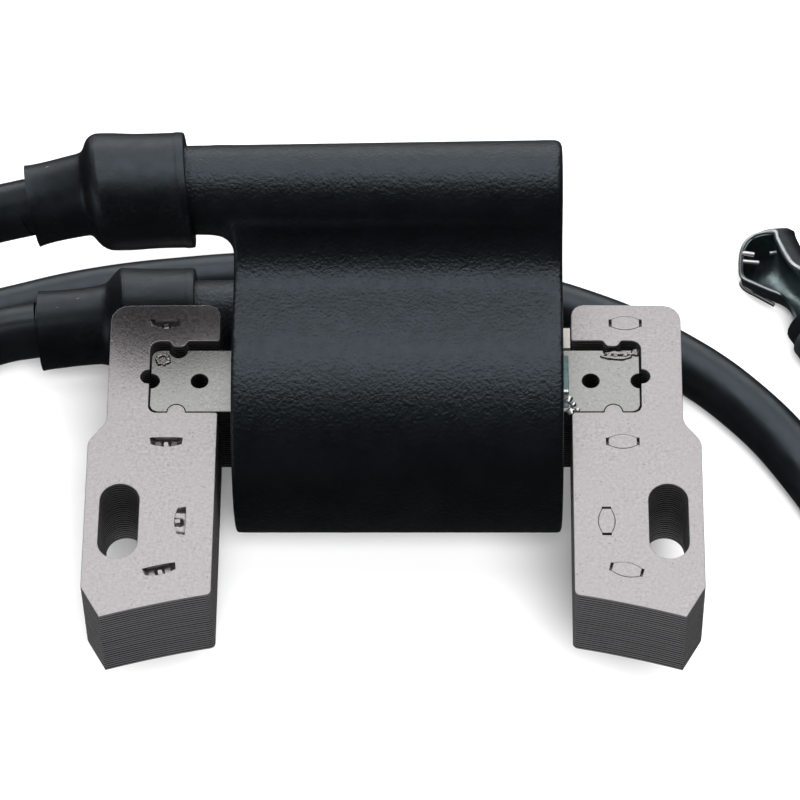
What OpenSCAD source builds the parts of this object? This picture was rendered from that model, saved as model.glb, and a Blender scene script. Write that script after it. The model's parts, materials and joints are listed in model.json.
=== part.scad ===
// Flywheel-magneto ignition coil for a twin-cylinder small engine.
// Two laminated legs carry a laminated core bar; a moulded housing round the bar holds the
// windings and the trigger circuit, and two high-tension leads leave it on one side.
//
// Frame: X along the core bar, Y along the legs away from the flywheel, Z square to the sheets.
// Origin: midway between the two mounting slots, on the face that seats on the engine bosses.

/* [Lamination stack] */
// Sheets in each stack
sheet_count = 26; // [20:1:30]
// Thickness of one sheet
sheet_t = 0.5; // [0.4:0.05:0.55]

/* [Mounting slots] */
// Distance between the slot centres
slot_spacing = 70.5; // [70:0.1:71]
// Width of a slot
slot_w = 5.1; // [4.5:0.1:5.6]
// Length of a slot, end to end
slot_l = 11.4; // [9:0.1:12]

/* [Legs] */
// Radius of the flywheel's sweep that the pole faces follow
flywheel_r = 128; // [120:1:140]
// Height of the pole arc's crest below the slots
pole_crest = 9; // [8.5:0.1:9.5]

/* [Core bar] */
// Length of the bar
core_l = 64; // [63.5:0.1:64.2]
// Depth of the bar
core_d = 9.8; // [9.4:0.1:10]
// Height of the bar's centre line above the slots
core_y = 21.9; // [21.8:0.1:22]

/* [Housing] */
// Outer radius of the barrel
barrel_r = 16.3; // [16:0.1:16.6]
// Wall of the barrel
barrel_wall = 1.8; // [1.6:0.1:1.9]
// Left end of the barrel
body_x0 = -21; // [-21.2:0.1:-20.8]
// Right end of the barrel
body_x1 = 21.9; // [21.6:0.1:22]
// Left end of both lead towers
tower_x0 = -37.5; // [-38:0.1:-37]
// Tower radius at its left end
tower_r0 = 5.7; // [5.6:0.05:5.8]
// Tower radius at its right end
tower_r1 = 6.55; // [6.3:0.05:6.7]

/* [Leads] */
// Diameter of the high-tension lead
lead_d = 7.6; // [7:0.1:7.7]
// Radius of the rubber boot's cup
boot_r = 7.6; // [7.4:0.1:7.7]
// Radius of the rubber boot's sleeve
sleeve_r = 5.45; // [5.2:0.05:5.5]

/* [Hidden] */

gap = 0.05;
eps = 0.02;
stack_t = sheet_count * sheet_t;
mid_z = stack_t / 2;
slot_x = slot_spacing / 2;

// Leg outline, right-hand leg: x, y, corner radius
pole_in = 23.05;
leg_outline = [
    [pole_in, -20, 0], [37.1, -20, 0], [37.1, -14.5, 0.6], [39.65, -10, 0.9],
    [39.8, 12.4, 2.5], [37.5, 15.4, 2.5], [37.65, 34.1, 2.4], [23.2, 34.2, 1.7],
    [23.15, 28.4, 0.3], [27.3, 28.4, 0.4], [27.8, 27.5, 0.5], [29.2, 27.5, 0.5],
    [29.7, 28.4, 0.4], [32.3, 28.35, 1.3], [32.15, 16.9, 0.9], [29.6, 16.9, 0.3],
    [29.2, 17.8, 0.5], [27.8, 17.8, 0.5], [27.4, 16.9, 0.3], [23.1, 16.9, 0.3]
];
window_notch = [32.25, 22.65, 1.15];

// Interlock dimples of the leg sheets: x, y, direction of the long side
interlocks = [[30.3, 31.2, 0], [29.6, 12.3, 0], [27.3, 0, 90], [29.7, -7.4, -13.5]];
dimple_l = 4.2;
dimple_w = 2.0;
dimple_deep = 0.35;
dimple_proud = 0.15;

// Core bar details
core_y0 = core_y - core_d / 2;
core_y1 = core_y + core_d / 2;
core_hole_x = 25.6;
core_hole_r = 1.12;
core_notch_x = 28.5;
core_notch_r = 1.2;
end_notch_r = 1.15;
core_corner_r = 1;

// Windings, as half sizes of rounded rectangles round the bar
bobbin_in = [core_d / 2 + 0.1, mid_z + 0.1];
bobbin_out = bobbin_in + [0.7, 0.7];
wire_out = bobbin_out + [1.4, 1.4];
tape_out = wire_out + [0.2, 0.2];
former_in = tape_out + [0.1, 0.1];
former_out = former_in + [0.8, 0.8];
cavity_r = barrel_r - barrel_wall;
cavity_x0 = body_x0 + barrel_wall;
flange_r = cavity_r - 0.2;
flange_x0 = 20.2;
flange_x1 = 21.4;
winding_x = 17.6;
former_x0 = -18.8;
former_x1 = 20;
chambers = 6;
wall_t = 0.8;
chamber_w = (former_x1 - former_x0 - (chambers + 1) * wall_t) / chambers;
secondary_r = 13.2;

// Housing section: towers, web and rear pocket
tower_y = 42.4;
upper_z = 27.3;
lower_z = -2.4;
lower_tower_x1 = 8;
web_fillet_r = 6.8;
web_fillet = [29.2, mid_z + barrel_r + web_fillet_r];
rear_y = 46.6;
bore_r = lead_d / 2 + 0.1;
bore_x1 = -8;
pocket_y0 = 36.8;
pocket_z = [4.2, 20.4];
pocket_x = [-19.2, 20.1];
potting_y1 = 46.1;
board_y = 41;
board_t = 1.2;

// Boots
cup_x1 = [-26.9, -27.4];
cup_x0 = [-39.9, -39.4];
cup_bore_r = 5.95;
cup_shoulder = 2.2;
sleeve_from_x = -38;
upper_mouth = [-48.2, tower_y, 23.7];
lower_mouth = [-49, 41.9, -3.2];

// Lead routes: out of the boot, down to the surface that the coil lies on, and along it
lead_sides = 12;
upper_route = [
    [-48.2, 42.4, 23.7], [-53.2, 42.4, 21.92], [-61, 42.4, 18.4], [-70, 42.4, 12.8],
    [-80, 42.5, 5.8], [-91, 42.7, -1.2], [-103, 43, -6.4], [-115.5, 43, -8.5],
    [-130, 39, -8.5], [-140.2, 28.5, -8.5], [-144, 14, -8.5],
    [-140.2, -0.5, -8.5], [-130, -11, -8.5], [-115.5, -15, -8.5], [-101.2, -11, -8.5],
    [-91.2, -0.5, -8.5], [-87.3, 14, -8.5], [-84.9, 27.8, -8.5], [-78.4, 38.4, -8.5], [-67.8, 44.8, -8.5],
    [-55.5, 48, -8.5], [-43, 51.5, -8.5], [-30, 53.5, -8.5], [-16, 54.5, -8.5], [-2, 54, -8.5],
    [12, 52, -8.5], [25, 48, -8.5], [37, 41.5, -8.5], [47.5, 32.5, -8.5], [55.5, 21.5, -8.5],
    [61.4, 9.5, -8.3], [65.6, -3.2, -7.9], [67.1, -8, -7.9]
];
lower_route = [
    [-49, 41.9, -3.2], [-54.5, 41.2, -3.9], [-62.3, 38.3, -5.3], [-69.7, 32.8, -6.9],
    [-75.2, 25, -8.1], [-78.1, 14, -8.5],
    [-78.8, 1, -8.5], [-77.5, -13, -8.5], [-71.5, -26, -8.5], [-60.5, -34.5, -8.5],
    [-47, -37.2, -8.5], [-34, -37.6, -8.5], [-20, -37.6, -8.5], [-6, -37.6, -8.5], [8, -37.6, -8.5],
    [23, -37.6, -8.5], [38, -37.6, -8.5], [53, -36.7, -8.5], [67, -32.3, -8.5], [77, -23, -8.5],
    [80.8, -10, -8.5], [80.2, 2, -8.5], [76.6, 14, -8.5], [71, 23.5, -8.5], [65.7, 30.5, -8.4],
    [61.9, 36.4, -8.2], [59.2, 42.2, -7.9], [56.85, 46.6, -7.9]
];

// Spark plug clips: place of the crimp ring, and heading of the clip
upper_clip_at = [65.6, -3.2, -7.9, -72.5];
lower_clip_at = [59.2, 42.2, -7.9, 117.9];
clip_t = 0.5;
ring_l = 2.5;
ring_r = lead_d / 2 + 0.05;
hood_x = 15.6;
hood_r = 3.6;
hood_z0 = -4;
hood_z1 = 3.6;
neck_w = 4.4;
strip_z0 = -ring_r - 0.4;

// ---- helpers ----

// Points of a corner of radius c[2] at c, between its neighbours a and b
function unit(v) = v / norm(v);
function corner(a, c, b) =
    let (u = unit([a[0] - c[0], a[1] - c[1]]), v = unit([b[0] - c[0], b[1] - c[1]]))
    let (half = acos(max(-1, min(1, u * v))) / 2, reach = c[2] / tan(half))
    let (hub = [c[0], c[1]] + unit(u + v) * c[2] / sin(half))
    let (p = [c[0], c[1]] + u * reach - hub, turn = 180 - 2 * half)
    let (side = sign(u[0] * v[1] - u[1] * v[0]), steps = c[2] > 1 ? 4 : 2)
    [for (i = [0:steps])
        let (t = -side * turn * i / steps)
        hub + [p[0] * cos(t) - p[1] * sin(t), p[0] * sin(t) + p[1] * cos(t)]];

function rounded(pts) =
    let (n = len(pts))
    [for (i = [0:n - 1])
        each pts[i][2] > 0
            ? corner(pts[(i + n - 1) % n], pts[i], pts[(i + 1) % n])
            : [[pts[i][0], pts[i][1]]]];

// A shape drawn in (Y, Z), extruded along X
module along_x(x0, x1) {
    translate([x0, 0, 0]) rotate([90, 0, 90]) linear_extrude(x1 - x0) children();
}

// A round bar along X
module bar_x(x0, x1, y, z, r, r_end = undef) {
    translate([x0, y, z]) rotate([0, 90, 0])
        cylinder(h = x1 - x0, r1 = r, r2 = is_undef(r_end) ? r : r_end, $fn = 96);
}

// Rounded rectangle of half size h and corner radius r, centred on the core bar
module ring_shape(h, r) {
    translate([core_y, mid_z]) {
        square([2 * (h[0] - r), 2 * h[1]], center = true);
        square([2 * h[0], 2 * (h[1] - r)], center = true);
        for (s = [-1, 1], t = [-1, 1])
            translate([s * (h[0] - r), t * (h[1] - r)]) circle(r, $fn = 32);
    }
}

// A pointed oval, the outline of a lamination interlock
module lens(l, w) {
    r = (l * l + w * w) / (4 * w);
    intersection() {
        translate([0, r - w / 2]) circle(r, $fn = 64);
        translate([0, w / 2 - r]) circle(r, $fn = 64);
    }
}

// A shallow dome of solidified metal on a flat face
module dome(r, h) {
    ball = (r * r + h * h) / (2 * h);
    intersection() {
        translate([0, 0, h - ball]) sphere(ball, $fn = 64);
        cylinder(h = h + 1, r = r + 1, $fn = 48);
    }
}

// A round tube swept along a route, as one closed solid
function heading(route, i) =
    unit(route[min(i + 1, len(route) - 1)] - route[max(i - 1, 0)]);
function ring_at(p, dir, r, sides) =
    let (side = unit(cross(dir, [0, 0, 1])), up = cross(side, dir))
    [for (k = [0:sides - 1]) p + r * (cos(360 * k / sides) * side + sin(360 * k / sides) * up)];
module swept_tube(route, r, sides) {
    n = len(route);
    points = [for (i = [0:n - 1]) each ring_at(route[i], heading(route, i), r, sides)];
    sides_of = [for (i = [0:n - 2], k = [0:sides - 1])
        let (a = i * sides + k, b = i * sides + (k + 1) % sides)
        [a, b, b + sides, a + sides]];
    near = [for (k = [0:sides - 1]) sides - 1 - k];
    far = [for (k = [0:sides - 1]) (n - 1) * sides + k];
    polyhedron(points, concat([near], sides_of, [far]), convexity = 6);
}

// ---- lamination stacks ----

module slot_cut(x) {
    reach = (slot_l - slot_w) / 2;
    translate([x, 0, -1]) linear_extrude(stack_t + 2) {
        for (s = [-1, 1]) translate([0, s * reach]) circle(d = slot_w, $fn = 96);
        square([slot_w, 2 * reach], center = true);
    }
}

module leg_body() {
    difference() {
        linear_extrude(stack_t) difference() {
            polygon(rounded(leg_outline));
            translate([window_notch[0], window_notch[1]]) circle(window_notch[2], $fn = 48);
            translate([0, -pole_crest - flywheel_r]) circle(flywheel_r, $fn = 256);
        }
        slot_cut(slot_x);
    }
}

module at_interlocks(z) {
    for (i = interlocks) translate([i[0], i[1], z]) rotate([0, 0, i[2]]) children();
}

// The left leg shows the pressed-in side of its interlocks
module left_leg_laminations() {
    color("#a9a39d") mirror([1, 0, 0]) difference() {
        leg_body();
        at_interlocks(stack_t - dimple_deep) linear_extrude(1) lens(dimple_l, dimple_w);
    }
}

// The right leg is the same stamping turned over, so its interlocks stand slightly proud
module right_leg_laminations() {
    color("#a9a39d") {
        leg_body();
        at_interlocks(stack_t - eps) linear_extrude(dimple_proud + eps) lens(dimple_l, dimple_w);
    }
}

module core_laminations() {
    color("#aeb0ad") linear_extrude(stack_t) difference() {
        polygon(rounded([for (c = [[1, core_y1], [-1, core_y1], [-1, core_y0], [1, core_y0]])
            [c[0] * core_l / 2, c[1], core_corner_r]]));
        for (s = [-1, 1]) {
            translate([s * core_hole_x, core_y]) circle(core_hole_r, $fn = 48);
            translate([s * core_l / 2, core_y]) circle(end_notch_r, $fn = 48);
            for (y = [core_y0, core_y1])
                translate([s * core_notch_x, y]) circle(core_notch_r, $fn = 48);
        }
    }
}

module left_core_weld() {
    color("silver") translate([-30.2, 25.2, stack_t]) dome(1.2, 0.35);
}

module right_core_weld() {
    color("silver") translate([29.9, 25.4, stack_t]) dome(1.3, 0.4);
    color("silver") translate([26.4, 25.5, stack_t]) dome(1.1, 0.35);
}

// ---- windings ----

module primary_bobbin() {
    color("ivory") difference() {
        union() {
            along_x(body_x0, flange_x1) ring_shape(bobbin_out, 0.8);
            along_x(-winding_x - 1, -winding_x) ring_shape(wire_out, 1.4);
            bar_x(flange_x0, flange_x1, core_y, mid_z, flange_r);
            translate([flange_x1 - eps, core_y1 + 0.4, 4]) cube([1.6, 3.2, stack_t - 4]);
        }
        along_x(body_x0 - 1, body_x1 + 1) ring_shape(bobbin_in, 0.3);
        bar_x(flange_x0 - 1, flange_x1 + 1, ground_y, ground_z, 0.45);
    }
}

module primary_winding() {
    color("peru") along_x(-winding_x + gap, winding_x) difference() {
        ring_shape(wire_out, 1.6);
        ring_shape(bobbin_out + [gap, gap], 0.8);
    }
}

module winding_tape() {
    color("goldenrod") along_x(-winding_x + gap, winding_x) difference() {
        ring_shape(tape_out, 1.8);
        ring_shape(wire_out + [0.02, 0.02], 1.6);
    }
}

module secondary_bobbin() {
    color("whitesmoke") difference() {
        union() {
            along_x(former_x0, former_x1) ring_shape(former_out, 2.6);
            for (k = [0:chambers])
                let (x = former_x0 + k * (chamber_w + wall_t))
                bar_x(x, x + wall_t, core_y, mid_z, flange_r);
        }
        along_x(former_x0 - 1, former_x1 + 1) ring_shape(former_in, 1.9);
    }
}

module secondary_winding() {
    color("chocolate") for (k = [0:chambers - 1])
        let (x = former_x0 + wall_t + k * (chamber_w + wall_t))
        along_x(x + gap, x + chamber_w - gap) difference() {
            translate([core_y, mid_z]) circle(secondary_r, $fn = 96);
            ring_shape(former_out + [gap, gap], 2.6);
        }
}

// The primary's earth end, brought out and soldered to the core bar
ground_y = 19.2;
ground_z = stack_t + 1.25;
ground_r = 0.4;
ground_x1 = 22.6;
module ground_wire() {
    color("lightgray") bar_x(winding_x + 0.1, ground_x1, ground_y, ground_z, ground_r - 0.02);
}

module ground_solder() {
    color("silver") difference() {
        translate([23, ground_y, stack_t]) dome(1.6, 1.45);
        bar_x(winding_x, ground_x1 + 0.02, ground_y, ground_z, ground_r);
        along_x(0, flange_x1 + gap) square([60, 60]);
    }
}

// ---- housing ----

// A drafted round tower with a softened closed end
module tower(z, x1) {
    r1 = tower_r0 + (tower_r1 - tower_r0) * (x1 - tower_x0) / (body_x1 - tower_x0);
    bar_x(tower_x0, x1 - 0.6, tower_y, z, tower_r0, r1);
    bar_x(x1 - 0.6, x1, tower_y, z, r1, r1 - 0.5);
}

// Barrel, flat crest and concave web up to the upper tower, and the block between the towers
module body_section() {
    axis = [core_y, mid_z];
    upper = [tower_y, upper_z];
    lower = [tower_y, lower_z];
    translate(axis) circle(barrel_r, $fn = 180);
    polygon([axis, lower, upper]);
    difference() {
        polygon([axis, axis + [0, barrel_r], [web_fillet[0], mid_z + barrel_r], web_fillet, upper]);
        translate(web_fillet) circle(web_fillet_r, $fn = 96);
    }
    translate([36, lower_z]) square([rear_y - 36, upper_z - lower_z]);
}

module pocket() {
    translate([pocket_x[0], 24, pocket_z[0]])
        cube([pocket_x[1] - pocket_x[0], rear_y - 24 + 1, pocket_z[1] - pocket_z[0]]);
}

module housing() {
    color("#17191c") difference() {
        union() {
            along_x(body_x0, body_x1) body_section();
            tower(upper_z, body_x1);
            tower(lower_z, lower_tower_x1);
        }
        bar_x(cavity_x0, body_x1 + 1, core_y, mid_z, cavity_r);
        along_x(body_x0 - 1, 0) ring_shape(bobbin_out + [gap, gap], 0.8);
        pocket();
        for (z = [upper_z, lower_z]) bar_x(tower_x0 - 1, bore_x1, tower_y, z, bore_r);
        for (s = [[upper_z, -1], [lower_z, 1]]) hv_wire_path(s[0], s[1], 0.45);
    }
}

// Straight run of a secondary wire from a tower's bore into the pocket
wire_x = -9.2;
module hv_wire_path(z, side, r) {
    translate([wire_x, tower_y, z + side * 0.9]) rotate([side > 0 ? 0 : 180, 0, 0])
        cylinder(h = 8.5, r = r, $fn = 32);
}
module upper_hv_wire() { color("orangered") hv_wire_path(upper_z, -1, 0.4); }
module lower_hv_wire() { color("orangered") hv_wire_path(lower_z, 1, 0.4); }

// Barbed spike that the lead is pushed on to
module contact_pin(z) {
    color("gold") {
        bar_x(bore_x1 - 2.2, bore_x1 - eps, tower_y, z, 3.3);
        bar_x(bore_x1 - 10, bore_x1 - 2.2 + eps, tower_y, z, 0.12, 0.5);
    }
}
module pin_with_wire_hole(z, side) {
    difference() {
        contact_pin(z);
        hv_wire_path(z, side, 0.42);
    }
}
module upper_contact_pin() { pin_with_wire_hole(upper_z, -1); }
module lower_contact_pin() { pin_with_wire_hole(lower_z, 1); }

// ---- trigger circuit ----

board_x = [-16, 18];
board_z = [5.2, 19.4];
transistor_box = [[-9, 37.2, 7], [6.4, 3.6, 9.4]];
capacitor_box = [[-0.5, 37.4, 8], [5.4, 3.4, 7.6]];
resistor_xz = [[10.2, 7.6], [10.2, 11], [10.2, 14.4]];
diode_xz = [10.2, 17.6];
axial_y = 39.6;

module control_board() {
    color("seagreen") difference() {
        translate([board_x[0], board_y, board_z[0]])
            cube([board_x[1] - board_x[0], board_t, board_z[1] - board_z[0]]);
        for (s = [[upper_z, -1], [lower_z, 1]]) hv_wire_path(s[0], s[1], 0.6);
    }
}

module power_transistor() {
    color("#202020") translate(transistor_box[0]) cube(transistor_box[1] - [0, gap, 0]);
}

module capacitor() {
    color("darkorange") translate(capacitor_box[0]) cube(capacitor_box[1] + [0, 0.2 - gap, 0]);
}

// Axial part: body and two leads
module axial(x, z, r, l) {
    bar_x(x - l / 2, x + l / 2, axial_y, z, r);
    bar_x(x - l / 2 - 1.6, x + l / 2 + 1.6, axial_y, z, 0.25);
}
module resistors() { color("tan") for (p = resistor_xz) axial(p[0], p[1], 1.15, 5.2); }
module diode() { color("#303030") axial(diode_xz[0], diode_xz[1], 1.0, 4.2); }

// Blade for the engine's stop switch, standing out of the rear of the potting
blade_x = [9, 15.3];
blade_z = 13.4;
blade_t = 0.8;
blade_y1 = 53.6;
module blade_slab(grow) {
    translate([blade_x[0] - grow, board_y + board_t + 0.02, blade_z - grow])
        cube([blade_x[1] - blade_x[0] + 2 * grow, blade_y1 - board_y - board_t, blade_t + 2 * grow]);
}
module stop_terminal() {
    color("tan") difference() {
        blade_slab(0);
        translate([(blade_x[0] + blade_x[1]) / 2, blade_y1 - 3, blade_z - 1])
            cylinder(h = 3, r = 0.85, $fn = 32);
    }
}

// Epoxy that fills the pocket round the circuit
module potting_fill() {
    color("#2b2a26") difference() {
        translate([pocket_x[0] + gap, pocket_y0, pocket_z[0] + gap])
            cube([pocket_x[1] - pocket_x[0] - 2 * gap, potting_y1 - pocket_y0,
                  pocket_z[1] - pocket_z[0] - 2 * gap]);
        translate([board_x[0] - gap, 30, board_z[0] - gap])
            cube([board_x[1] - board_x[0] + 2 * gap, board_y + board_t + gap - 30,
                  board_z[1] - board_z[0] + 2 * gap]);
        blade_slab(gap);
        hv_wire_path(upper_z, -1, 0.45);
        hv_wire_path(lower_z, 1, 0.45);
    }
}

// ---- boots and leads ----

// Sleeve of a boot, tilted from the tower's axis to its mouth
module sleeve(z, mouth) {
    start = [sleeve_from_x, tower_y, z];
    dir = mouth - start;
    l = norm(dir);
    translate(start) rotate([0, acos(dir[2] / l), atan2(dir[1], dir[0])])
        cylinder(h = l, r = sleeve_r, $fn = 64);
}

// The bent run of a lead through its tower and boot, from x down to just past the mouth
bend_x = tower_x0 - 0.6;
module bent_run(z, mouth, r, x, past, sides) {
    start = [bend_x, tower_y, z];
    swept_tube([[x, tower_y, z], start, mouth + past * unit(mouth - start)], r, sides);
}

module boot(z, mouth, x0, x1) {
    color("#1d1e20") difference() {
        union() {
            translate([x1, tower_y, z]) rotate([0, -90, 0]) rotate_extrude($fn = 96)
                polygon([[0, 0], [boot_r, 0], each [for (a = [0:15:90])
                    [boot_r - cup_shoulder * (1 - cos(a)), x1 - x0 - cup_shoulder * (1 - sin(a))]],
                    [0, x1 - x0]]);
            sleeve(z, mouth);
        }
        bar_x(tower_x0 - 0.1, x1 + 1, tower_y, z, cup_bore_r);
        bent_run(z, mouth, lead_d / 2 + 0.12, -30, 1, 24);
    }
}
module upper_boot() { boot(upper_z, upper_mouth, cup_x0[0], cup_x1[0]); }
module lower_boot() { boot(lower_z, lower_mouth, cup_x0[1], cup_x1[1]); }

// End of a lead, inside its boot and tower, with the barbed spike driven into its core
conductor_r = 0.9;
tail_x1 = bore_x1 - 2.3;
module spike_hole(z) {
    bar_x(bore_x1 - 10.1, bore_x1 - 2.1, tower_y, z, 0.17, 0.56);
}
module lead_tail(z, mouth) {
    color("#1b1d20") difference() {
        bent_run(z, mouth, lead_d / 2, tail_x1, 0, 24);
        bent_run(z, mouth, conductor_r + 0.03, tail_x1 + 1, 1, 16);
    }
}
module lead_conductor(z, mouth) {
    color("darkorange") difference() {
        bent_run(z, mouth, conductor_r, tail_x1, 0, 16);
        spike_hole(z);
    }
}
module upper_lead_tail() { lead_tail(upper_z, upper_mouth); }
module lower_lead_tail() { lead_tail(lower_z, lower_mouth); }
module upper_conductor() { lead_conductor(upper_z, upper_mouth); }
module lower_conductor() { lead_conductor(lower_z, lower_mouth); }

module upper_lead() { color("#1b1d20") swept_tube(upper_route, lead_d / 2, lead_sides); }
module lower_lead() { color("#1b1d20") swept_tube(lower_route, lead_d / 2, lead_sides); }

// ---- spark plug clips ----

// Sheet-steel clip: crimp ring, strip under the lead, neck, and a hood that snaps on the plug
module plug_clip(at) {
    hood_out = hood_r + clip_t;
    color("silver") translate([at[0], at[1], at[2]]) rotate([0, 0, at[3]]) {
        difference() {
            bar_x(0, ring_l, 0, 0, ring_r + clip_t - 0.05);
            bar_x(-1, ring_l + 1, 0, 0, ring_r);
        }
        translate([0, -neck_w / 2, strip_z0]) cube([hood_x - hood_r, neck_w, clip_t - 0.1]);
        difference() {
            translate([hood_x, 0, hood_z0]) cylinder(h = hood_z1 - hood_z0, r = hood_out, $fn = 96);
            translate([hood_x, 0, hood_z0 + clip_t]) cylinder(h = 20, r = hood_r, $fn = 96);
            translate([hood_x - hood_out - 1, -1.5, hood_z0 + clip_t + 1]) cube([3, 3, 20]);
            for (s = [-1, 1])
                translate([hood_x - 1.2, s * hood_out - 1, 0.6]) cube([2.4, 2, 0.9]);
        }
    }
}
module upper_plug_clip() { plug_clip(upper_clip_at); }
module lower_plug_clip() { plug_clip(lower_clip_at); }

// Spring wire that grips the plug's nut through the hood's side slits
module clip_spring(at) {
    wire_r = 0.3;
    color("gainsboro") translate([at[0], at[1], at[2] + 1.05]) rotate([0, 0, at[3]])
        for (s = [-1, 1]) translate([hood_x, s * (hood_r + wire_r + gap), 0]) rotate([0, 90, 0])
            cylinder(h = 2.2, r = wire_r, center = true, $fn = 24);
}
module upper_clip_spring() { clip_spring(upper_clip_at); }
module lower_clip_spring() { clip_spring(lower_clip_at); }

left_leg_laminations();
right_leg_laminations();
core_laminations();
left_core_weld();
right_core_weld();
primary_bobbin();
primary_winding();
winding_tape();
secondary_bobbin();
secondary_winding();
ground_wire();
ground_solder();
housing();
potting_fill();
control_board();
power_transistor();
resistors();
capacitor();
diode();
stop_terminal();
upper_contact_pin();
lower_contact_pin();
upper_hv_wire();
lower_hv_wire();
upper_boot();
lower_boot();
upper_lead_tail();
lower_lead_tail();
upper_conductor();
lower_conductor();
upper_lead();
lower_lead();
upper_plug_clip();
lower_plug_clip();
upper_clip_spring();
lower_clip_spring();
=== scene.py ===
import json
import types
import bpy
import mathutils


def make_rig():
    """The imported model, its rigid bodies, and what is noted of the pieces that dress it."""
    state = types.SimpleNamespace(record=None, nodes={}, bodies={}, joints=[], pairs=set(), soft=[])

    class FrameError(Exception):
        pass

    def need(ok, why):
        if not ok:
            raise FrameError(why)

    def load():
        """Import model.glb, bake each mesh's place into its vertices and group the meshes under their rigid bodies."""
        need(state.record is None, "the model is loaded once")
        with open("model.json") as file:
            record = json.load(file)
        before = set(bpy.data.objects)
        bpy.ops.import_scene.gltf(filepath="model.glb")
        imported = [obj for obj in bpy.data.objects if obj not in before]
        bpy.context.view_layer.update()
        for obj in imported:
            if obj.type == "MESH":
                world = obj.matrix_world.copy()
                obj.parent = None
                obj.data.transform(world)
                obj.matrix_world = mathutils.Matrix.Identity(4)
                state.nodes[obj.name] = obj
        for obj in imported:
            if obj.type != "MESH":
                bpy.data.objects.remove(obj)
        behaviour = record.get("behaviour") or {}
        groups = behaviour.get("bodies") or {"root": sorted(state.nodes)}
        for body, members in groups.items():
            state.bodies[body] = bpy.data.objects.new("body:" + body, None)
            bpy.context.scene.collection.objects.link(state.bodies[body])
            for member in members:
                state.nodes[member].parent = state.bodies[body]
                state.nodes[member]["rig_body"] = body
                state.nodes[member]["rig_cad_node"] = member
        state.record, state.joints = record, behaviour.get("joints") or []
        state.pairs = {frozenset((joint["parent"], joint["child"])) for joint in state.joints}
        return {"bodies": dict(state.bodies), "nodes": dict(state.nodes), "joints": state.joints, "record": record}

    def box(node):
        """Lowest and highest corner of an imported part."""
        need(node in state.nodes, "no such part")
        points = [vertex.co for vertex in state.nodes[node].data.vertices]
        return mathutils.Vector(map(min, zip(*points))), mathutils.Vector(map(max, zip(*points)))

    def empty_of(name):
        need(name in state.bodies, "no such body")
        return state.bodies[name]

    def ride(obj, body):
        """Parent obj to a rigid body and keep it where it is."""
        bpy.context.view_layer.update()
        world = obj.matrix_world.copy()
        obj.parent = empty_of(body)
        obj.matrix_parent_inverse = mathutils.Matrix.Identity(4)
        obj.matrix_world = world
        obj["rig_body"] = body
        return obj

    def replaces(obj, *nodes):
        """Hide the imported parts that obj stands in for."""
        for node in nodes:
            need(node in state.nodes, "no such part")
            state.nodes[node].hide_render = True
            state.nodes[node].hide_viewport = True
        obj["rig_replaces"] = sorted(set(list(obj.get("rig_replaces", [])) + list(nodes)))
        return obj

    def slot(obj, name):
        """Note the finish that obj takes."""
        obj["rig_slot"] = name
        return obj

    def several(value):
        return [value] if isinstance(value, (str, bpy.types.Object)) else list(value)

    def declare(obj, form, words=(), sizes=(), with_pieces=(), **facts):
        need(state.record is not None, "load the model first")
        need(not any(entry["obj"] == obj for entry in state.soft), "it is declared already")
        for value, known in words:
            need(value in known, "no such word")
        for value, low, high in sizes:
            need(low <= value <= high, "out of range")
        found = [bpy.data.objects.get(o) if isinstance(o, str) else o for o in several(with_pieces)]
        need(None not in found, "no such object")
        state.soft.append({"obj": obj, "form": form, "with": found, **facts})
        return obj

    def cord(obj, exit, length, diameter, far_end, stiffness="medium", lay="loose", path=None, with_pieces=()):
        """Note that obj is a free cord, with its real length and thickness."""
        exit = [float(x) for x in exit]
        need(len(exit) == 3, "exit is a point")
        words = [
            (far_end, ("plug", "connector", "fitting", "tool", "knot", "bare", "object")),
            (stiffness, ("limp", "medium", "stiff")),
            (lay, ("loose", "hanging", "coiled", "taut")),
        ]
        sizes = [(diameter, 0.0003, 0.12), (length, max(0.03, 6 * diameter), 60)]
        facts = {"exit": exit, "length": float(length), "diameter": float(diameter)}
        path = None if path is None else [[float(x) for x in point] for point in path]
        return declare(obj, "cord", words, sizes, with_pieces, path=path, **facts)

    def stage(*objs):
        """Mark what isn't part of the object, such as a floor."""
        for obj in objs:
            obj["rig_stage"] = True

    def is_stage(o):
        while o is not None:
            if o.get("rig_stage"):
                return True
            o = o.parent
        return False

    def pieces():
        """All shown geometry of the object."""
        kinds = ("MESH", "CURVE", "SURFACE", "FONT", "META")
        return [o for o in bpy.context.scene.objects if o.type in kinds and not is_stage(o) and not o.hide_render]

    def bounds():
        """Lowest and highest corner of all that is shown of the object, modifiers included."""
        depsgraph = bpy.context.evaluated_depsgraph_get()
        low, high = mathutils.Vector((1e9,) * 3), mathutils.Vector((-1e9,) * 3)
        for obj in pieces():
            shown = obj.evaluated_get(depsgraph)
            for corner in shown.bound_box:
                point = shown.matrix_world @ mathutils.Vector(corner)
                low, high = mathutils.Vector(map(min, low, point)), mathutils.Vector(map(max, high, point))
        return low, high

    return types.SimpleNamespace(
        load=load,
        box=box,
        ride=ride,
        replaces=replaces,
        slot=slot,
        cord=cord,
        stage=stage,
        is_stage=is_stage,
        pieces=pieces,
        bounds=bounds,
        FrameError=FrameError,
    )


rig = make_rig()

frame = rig.load()

import json
import math
import random

import bmesh
import bpy
from mathutils import Matrix, Vector, geometry, noise

# A flywheel-magneto ignition coil. Lengths below are in millimetres unless a name says otherwise,
# in the part's own frame: X along the core bar, Y along the legs, Z square to the sheets.
MM = 0.001
NODES = frame["nodes"]
cad_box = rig.bounds()

# ---- camera ----

CAMERA_AT = (9.40, -308.36, 482.52)
CAMERA_TILT = 34.883
CAMERA_ROLL = -1.274
CAMERA_YAW = -1.526
CAMERA_LENS = 197.4


def link(obj):
    bpy.context.scene.collection.objects.link(obj)
    return obj


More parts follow.
